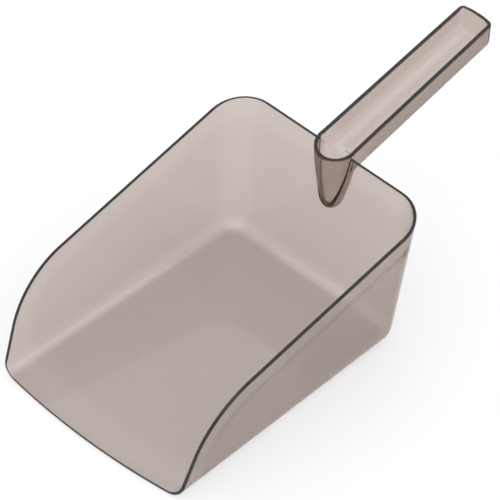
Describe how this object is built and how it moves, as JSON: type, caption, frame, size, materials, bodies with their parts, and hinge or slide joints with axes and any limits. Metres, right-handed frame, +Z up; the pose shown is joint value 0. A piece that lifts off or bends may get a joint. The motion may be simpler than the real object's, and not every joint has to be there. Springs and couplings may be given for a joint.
{
  "type": "hand scoop",
  "caption": "Flat-bottomed hand scoop moulded in smoke-tinted clear plastic, with an open front, a bowed lip and an open trough handle that starts in a rounded pocket in the back wall.",
  "frame": {"origin": "middle of the bowl's flat underside", "axes": "+Y from the pouring lip to the handle, +X to the right, +Z up"},
  "size_m": [0.164, 0.349, 0.1363],
  "materials": {
    "smoke_plastic": "glossy, smoke-tinted and clear"
  },
  "bodies": {
    "root": {"bowl_floor": "smoke_plastic", "side_wall_left": "smoke_plastic", "side_wall_right": "smoke_plastic", "back_wall": "smoke_plastic", "corner_left": "smoke_plastic", "corner_right": "smoke_plastic", "handle_root": "smoke_plastic", "handle_trough": "smoke_plastic", "handle_end": "smoke_plastic"}
  },
  "joints": []
}
